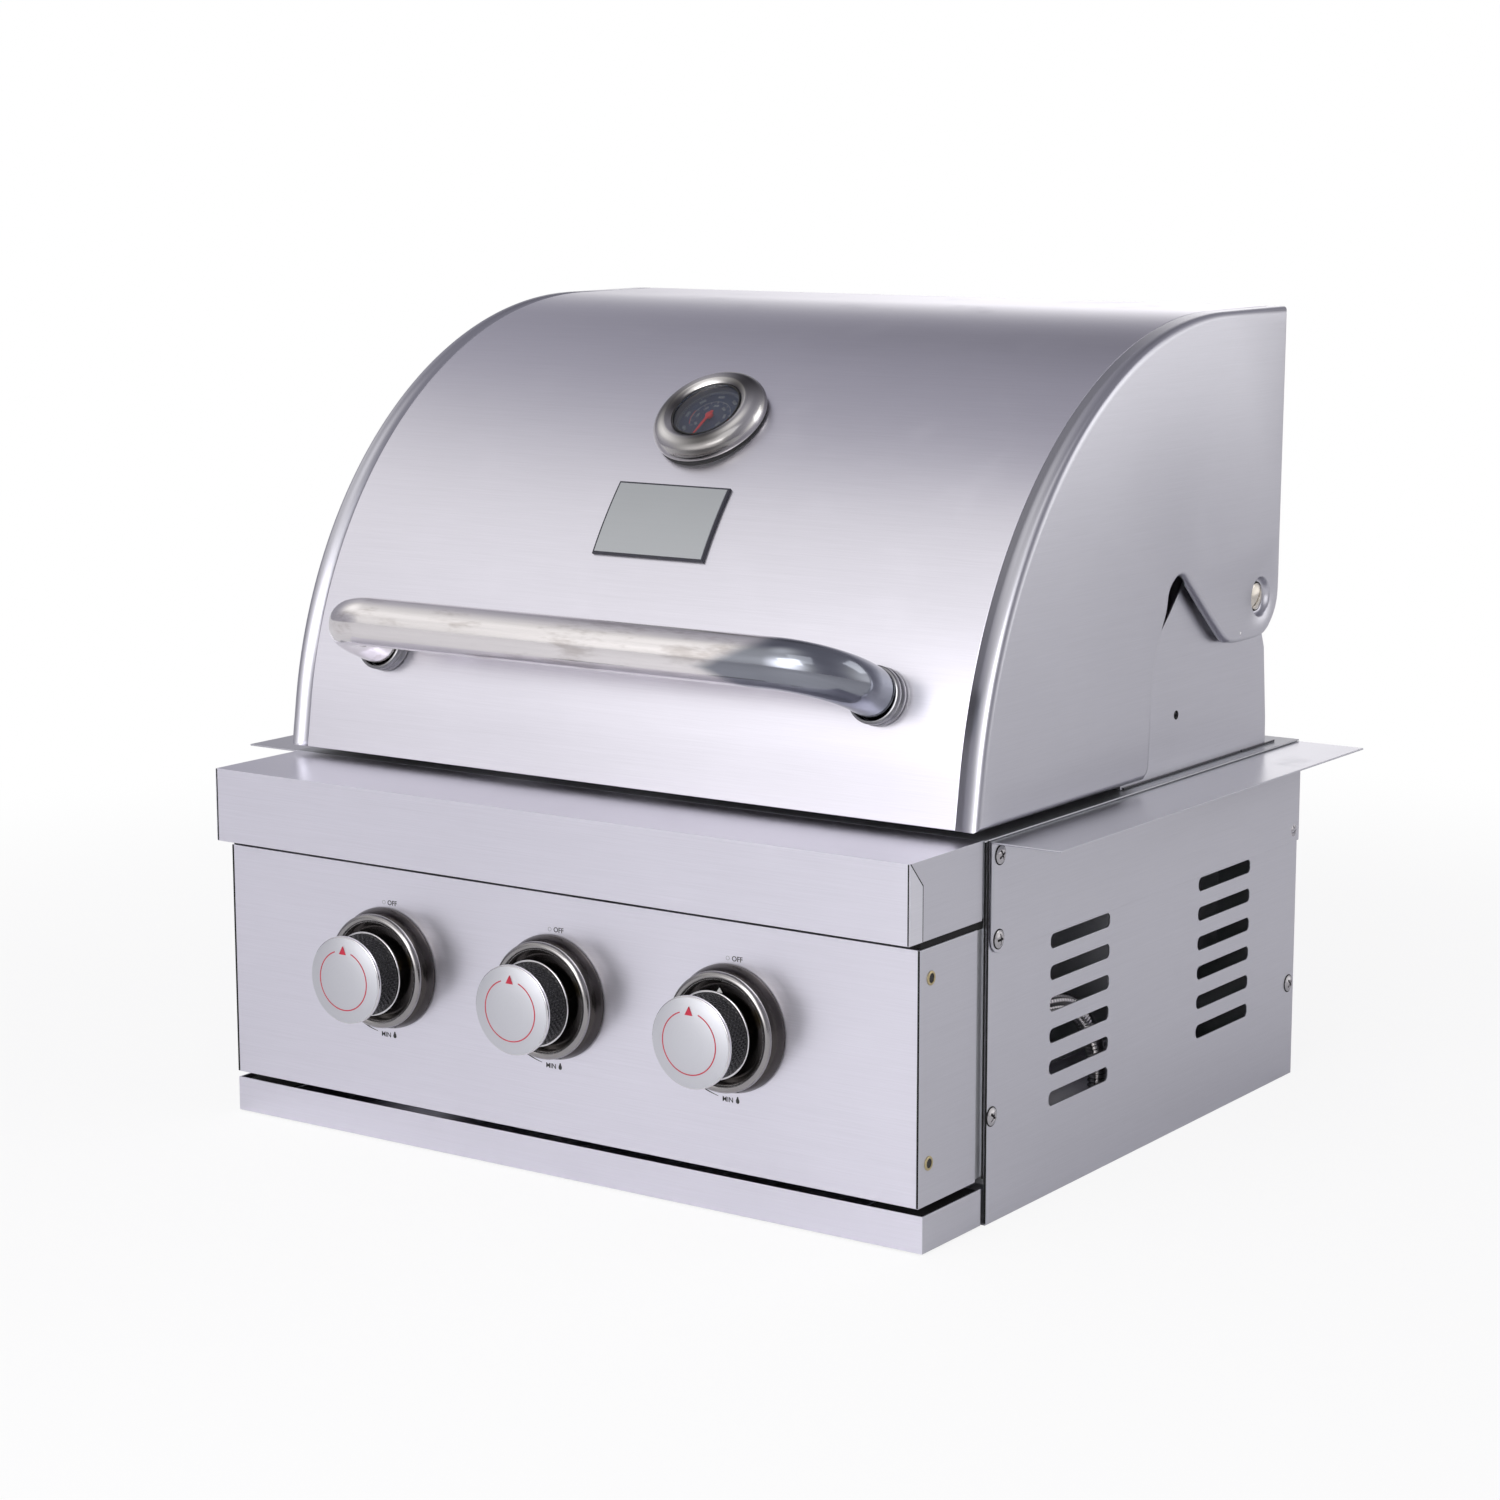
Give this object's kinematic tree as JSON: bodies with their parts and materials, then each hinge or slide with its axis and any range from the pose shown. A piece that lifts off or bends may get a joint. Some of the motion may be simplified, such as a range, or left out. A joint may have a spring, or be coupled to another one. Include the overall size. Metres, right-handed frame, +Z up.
{
  "type": "built-in gas grill",
  "caption": "Built-in gas grill with a curved hinged hood, tube handle, push-and-turn knobs, lift-out grates, slotted side panels and a pull-out drip tray.",
  "frame": {"origin": "middle of the base pan's underside, in the plane half-way between the side panels' front and back edges", "axes": "+X to the right of someone who stands in front, +Y to the back, +Z up"},
  "size_m": [0.6632, 0.5551, 0.5552],
  "materials": {
    "galvanised_steel": "plain",
    "brushed_steel": "fine straight grain",
    "polished_steel": "polished",
    "chrome": "bright",
    "black_grip": "cross-hatched grip",
    "satin_cap": "satin",
    "brass": "plain",
    "ceramic": "glazed",
    "gasket": "matt",
    "dial": "satin",
    "lens": "clear",
    "pointer": "satin"
  },
  "bodies": {
    "casing": {"base_pan": "galvanised_steel", "burner_holder": "galvanised_steel", "burner_tube_1": "galvanised_steel", "burner_tube_2": "galvanised_steel", "burner_tube_3": "galvanised_steel", "control_panel": "brushed_steel", "firebox_liner": "galvanised_steel", "front_frame": "galvanised_steel", "gas_hose": "polished_steel", "gas_inlet_fitting": "brass", "gas_manifold": "galvanised_steel", "gas_valve_1": "brass", "gas_valve_2": "brass", "gas_valve_3": "brass", "header_trim": "brushed_steel", "hood_frame": "brushed_steel", "hose_elbow": "brass", "igniter_1": "ceramic", "igniter_2": "ceramic", "igniter_3": "ceramic", "knob_bezel_1": "chrome", "knob_bezel_2": "chrome", "knob_bezel_3": "chrome", "mounting_flange_left": "brushed_steel", "mounting_flange_right": "brushed_steel", "rear_panel": "galvanised_steel", "side_panel_left": "brushed_steel", "side_panel_right": "brushed_steel"},
    "hood": {"hood_skin": "brushed_steel", "hood_end_cap_left": "brushed_steel", "hood_end_cap_right": "brushed_steel", "handle_tube": "polished_steel", "handle_collar_left": "polished_steel", "handle_collar_right": "polished_steel", "thermometer_gasket": "gasket", "thermometer_bezel": "brushed_steel", "thermometer_dial": "dial", "thermometer_lens": "lens", "thermometer_probe": "polished_steel", "pivot_screw_left": "polished_steel", "pivot_screw_right": "polished_steel"},
    "needle": {"thermometer_needle": "pointer"},
    "tray": {"drip_tray": "brushed_steel"},
    "grate_left": {"cooking_grate_left": "polished_steel"},
    "grate_right": {"cooking_grate_right": "polished_steel"},
    "rack": {"warming_rack": "polished_steel"},
    "tamer": {"flame_tamer": "galvanised_steel"},
    "plug_1": {"valve_plug_1": "brass"},
    "knob_1": {"valve_stem_1": "brass", "knob_grip_1": "black_grip", "knob_cap_1": "satin_cap"},
    "plug_2": {"valve_plug_2": "brass"},
    "knob_2": {"valve_stem_2": "brass", "knob_grip_2": "black_grip", "knob_cap_2": "satin_cap"},
    "plug_3": {"valve_plug_3": "brass"},
    "knob_3": {"valve_stem_3": "brass", "knob_grip_3": "black_grip", "knob_cap_3": "satin_cap"}
  },
  "joints": [
    {"name": "hood_hinge", "type": "hinge", "parent": "casing", "child": "hood", "pos_m": [0, 0.14984, 0.35645], "axis": [-1, 0, 0], "range_deg": [0, 90]},
    {"name": "thermometer_turn", "type": "hinge", "parent": "hood", "child": "needle", "pos_m": [0, -0.11049, 0.48252], "axis": [0, 0.6347, -0.7727], "range_deg": [0, 250]},
    {"name": "tray_slide", "type": "slide", "parent": "casing", "child": "tray", "axis": [0, -1, 0], "range_m": [0, 0.35]},
    {"name": "grate_left_lift", "type": "slide", "parent": "casing", "child": "grate_left", "axis": [0, 0, 1], "range_m": [0, 0.05]},
    {"name": "grate_right_lift", "type": "slide", "parent": "casing", "child": "grate_right", "axis": [0, 0, 1], "range_m": [0, 0.05]},
    {"name": "rack_lift", "type": "slide", "parent": "casing", "child": "rack", "axis": [0, 0, 1], "range_m": [0, 0.08]},
    {"name": "tamer_lift", "type": "slide", "parent": "casing", "child": "tamer", "axis": [0, 0, 1], "range_m": [0, 0.03]},
    {"name": "knob_turn_1", "type": "hinge", "parent": "casing", "child": "plug_1", "pos_m": [-0.1405, -0.29145, 0.1228], "axis": [0, -1, 0], "range_deg": [0, 180]},
    {"name": "knob_push_1", "type": "slide", "parent": "plug_1", "child": "knob_1", "axis": [0, 1, 0], "range_m": [0, 0.004], "stiffness_N_per_m": 800, "springref_m": -0.004},
    {"name": "knob_turn_2", "type": "hinge", "parent": "casing", "child": "plug_2", "pos_m": [0, -0.29145, 0.1228], "axis": [0, -1, 0], "range_deg": [0, 180]},
    {"name": "knob_push_2", "type": "slide", "parent": "plug_2", "child": "knob_2", "axis": [0, 1, 0], "range_m": [0, 0.004], "stiffness_N_per_m": 800, "springref_m": -0.004},
    {"name": "knob_turn_3", "type": "hinge", "parent": "casing", "child": "plug_3", "pos_m": [0.1405, -0.29145, 0.1228], "axis": [0, -1, 0], "range_deg": [0, 180]},
    {"name": "knob_push_3", "type": "slide", "parent": "plug_3", "child": "knob_3", "axis": [0, 1, 0], "range_m": [0, 0.004], "stiffness_N_per_m": 800, "springref_m": -0.004}
  ]
}
